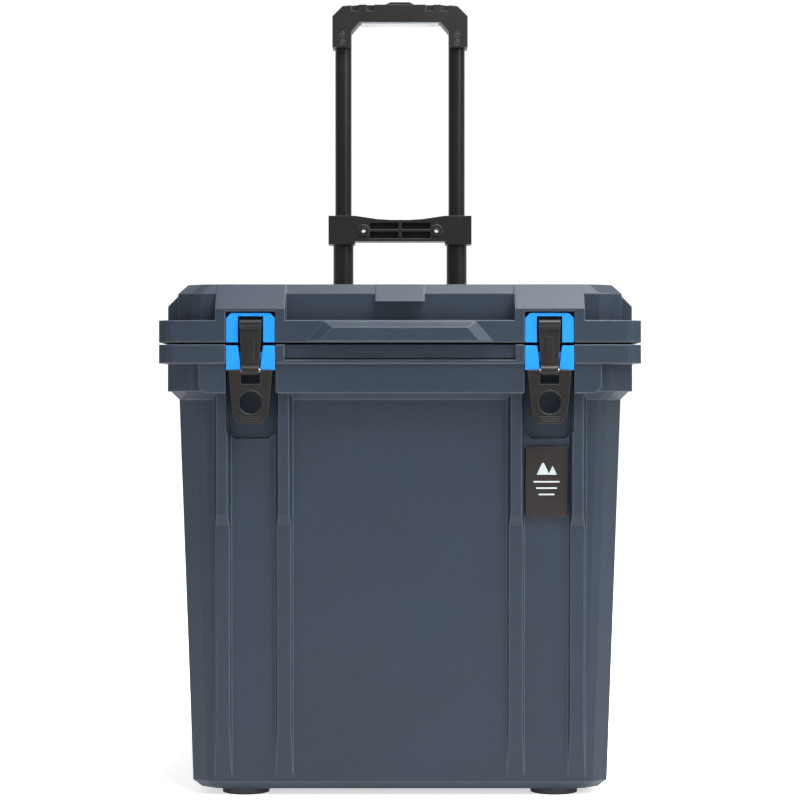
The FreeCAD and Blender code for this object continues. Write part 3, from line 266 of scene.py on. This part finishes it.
def add_badge_graphic():
    """Generic graphic on the badge: two peaks over three waterlines, on its sloping face."""
    low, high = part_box("badge")
    x = (low.x + high.x) / 2
    width = high.x - low.x
    height = high.z - low.z
    slope = frame_slope("badge")

    def face_at(z):
        """y a little in front of the badge's front face, at height z."""
        return low.y + (high.z - z) * slope - GRAPHIC_PROUD

    peaks_z = low.z + PEAKS_FOOT * height
    for name, shift, tall in PEAKS:
        middle = x + shift * width
        half = PEAK_WIDTH_PER_HEIGHT * tall * height / 2
        corners = [(middle - half, peaks_z), (middle + half, peaks_z), (middle, peaks_z + tall * height)]
        solid(f"badge_peak_{name}", "box", "graphic", corners, GRAPHIC_DEPTH, face_at(peaks_z))
    for number in range(LINE_COUNT):
        z = low.z + (LINE_TOP - LINE_PITCH * number) * height
        corners = rectangle(x, z, (LINE_HALF_W - LINE_SHRINK * number) * width, LINE_HALF_H)
        solid(f"badge_line_{number}", "box", "graphic", corners, GRAPHIC_DEPTH, face_at(z))


def add_drive_shades():
    """Painted shade of the drive sockets: dark plates set on the grip's screws where the sockets' hollows
    lie in shade.
    """
    for name in SIDES:
        for number in (1, 2):
            low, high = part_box(f"grip_screw_{name}_{number}")
            x, z = (low.x + high.x) / 2, (low.z + high.z) / 2
            corners = regular_outline(x, z, DRIVE_R, DRIVE_SIDES)
            solid(f"grip_drive_shade_{name}_{number}", "handle_grip", "seal", corners, DRIVE_DEPTH,
                  low.y - DRIVE_PROUD, DRIVE_ROUNDING)


def add_lever_ridges():
    """Grip ridges under each lever's finger hole, and a raised rib along each link."""
    for name in SIDES:
        low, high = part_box(f"latch_lever_{name}")
        x = (low.x + high.x) / 2
        for number in range(RIDGE_COUNT):
            z = low.z + RIDGE_ABOVE_TIP + RIDGE_PITCH * number
            half_w = RIDGE_HALF_W + RIDGE_GROWTH * number
            solid(f"lever_ridge_{name}_{number}", f"lever_{name}", "dark",
                  rectangle(x, z, half_w, RIDGE_HALF_H), RIDGE_DEPTH, low.y - RIDGE_PROUD)
        link_low, link_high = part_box(f"latch_link_{name}")
        middle = (link_low.z + link_high.z) / 2
        solid(f"link_rib_{name}", f"link_{name}", "dark",
              rectangle(x, middle - RIB_DROP, RIB_HALF_W, RIB_HALF_H), RIDGE_DEPTH, low.y - RIB_PROUD)


def add_ring(name, body, slot, place, radius, thick):
    """Small torus that faces -Y."""
    bpy.ops.mesh.primitive_torus_add(major_radius=radius, minor_radius=thick,
                                     major_segments=RING_SEGMENTS, minor_segments=RING_SIDES,
                                     location=place, rotation=(math.pi / 2, 0, 0))
    ring = bpy.context.object
    ring.name = name
    bpy.ops.object.transform_apply(location=True, rotation=True, scale=True)
    bpy.ops.object.shade_smooth()
    dress(ring, slot)
    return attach(ring, body)


def add_rings():
    """Raised rings round the crossbar's bolt holes and the levers' finger holes."""
    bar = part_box("crossbar")[0]
    for name, side in SIDES.items():
        place = (side * BOLT_FROM_MIDDLE, bar.y + BOLT_RING_BACK, bar.z + BOLT_ABOVE_FOOT)
        add_ring(f"boss_ring_{name}", "handle_middle", "dark", place, BOLT_RING_R, BOLT_RING_THICK)
        low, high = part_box(f"latch_lever_{name}")
        place = ((low.x + high.x) / 2, low.y + FINGER_RING_BACK, low.z + FINGER_ABOVE_TIP)
        add_ring(f"finger_ring_{name}", f"lever_{name}", "dark", place, FINGER_RING_R, FINGER_RING_THICK)


add_badge_graphic()
add_drive_shades()
add_lever_ridges()
add_rings()

# ---------------------------------------------------------------- stage

STAGE_SIZE = 40
STAGE_ROUGHNESS = 0.9
FLOOR_COLOUR, FLOOR_GLOW = 0.85, 0.62
BACKDROP_COLOUR, BACKDROP_GLOW = 0.1, 1.0
BACKDROP_Y = 9
WORLD_STRENGTH = 0.42
LIT_POINT = (0, 0, 0.4)
LIGHTS = (                                  # name, place, size, watts
    ("key", (1.7, -1.5, 1.9), 1.6, 60),
    ("top", (0.5, -0.7, 2.4), 1.2, 130),
    ("fill", (-2.2, -1.8, 1.0), 1.6, 2),
)
SENSOR = 36
CAMERA_DISTANCE = 2.3
CAMERA_HEIGHT = 0.4015
VIEW_WIDTH = 0.8                            # what the picture spans at the body's front face


def make_stage_plane(name, place, turn, colour, glow):
    """Plain pale plane that glows, for the floor and the backdrop."""
    bpy.ops.mesh.primitive_plane_add(size=STAGE_SIZE, location=place, rotation=turn)
    plane = bpy.context.object
    plane.name = name
    material = bpy.data.materials.new(f"{name}_white")
    material.use_nodes = True
    shader = material.node_tree.nodes["Principled BSDF"]
    shader.inputs["Base Color"].default_value = (colour, colour, colour, 1)
    shader.inputs["Roughness"].default_value = STAGE_ROUGHNESS
    shader.inputs["Emission Color"].default_value = (1, 1, 1, 1)
    shader.inputs["Emission Strength"].default_value = glow
    plane.data.materials.append(material)


def make_light(name, place, target, size, power):
    """Soft square light aimed at a point."""
    data = bpy.data.lights.new(name, "AREA")
    data.energy = power
    data.size = size
    lamp = bpy.data.objects.new(name, data)
    lamp.location = place
    lamp.rotation_euler = (Vector(target) - Vector(place)).to_track_quat("-Z", "Y").to_euler()
    bpy.context.scene.collection.objects.link(lamp)


def make_world():
    """Even white surroundings, dimmer than the backdrop, and colours shown as they are."""
    world = bpy.data.worlds.new("studio")
    bpy.context.scene.world = world
    bpy.context.scene.view_settings.view_transform = "Standard"
    world.use_nodes = True
    world.node_tree.nodes["Background"].inputs["Color"].default_value = (1, 1, 1, 1)
    world.node_tree.nodes["Background"].inputs["Strength"].default_value = WORLD_STRENGTH


def make_camera():
    """Level camera straight in front of the body."""
    data = bpy.data.cameras.new("camera")
    data.sensor_width = SENSOR
    data.lens = SENSOR * CAMERA_DISTANCE / VIEW_WIDTH
    camera = bpy.data.objects.new("camera", data)
    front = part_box("body_shell")[0].y
    camera.location = (0, front - CAMERA_DISTANCE, CAMERA_HEIGHT)
    camera.rotation_euler = (math.pi / 2, 0, 0)
    bpy.context.scene.collection.objects.link(camera)
    bpy.context.scene.camera = camera


make_stage_plane("floor", (0, 0, 0), (0, 0, 0), FLOOR_COLOUR, FLOOR_GLOW)
make_stage_plane("backdrop", (0, BACKDROP_Y, 0), (math.pi / 2, 0, 0), BACKDROP_COLOUR, BACKDROP_GLOW)
make_world()
for name, place, size, power in LIGHTS:
    make_light(name, place, LIT_POINT, size, power)
make_camera()
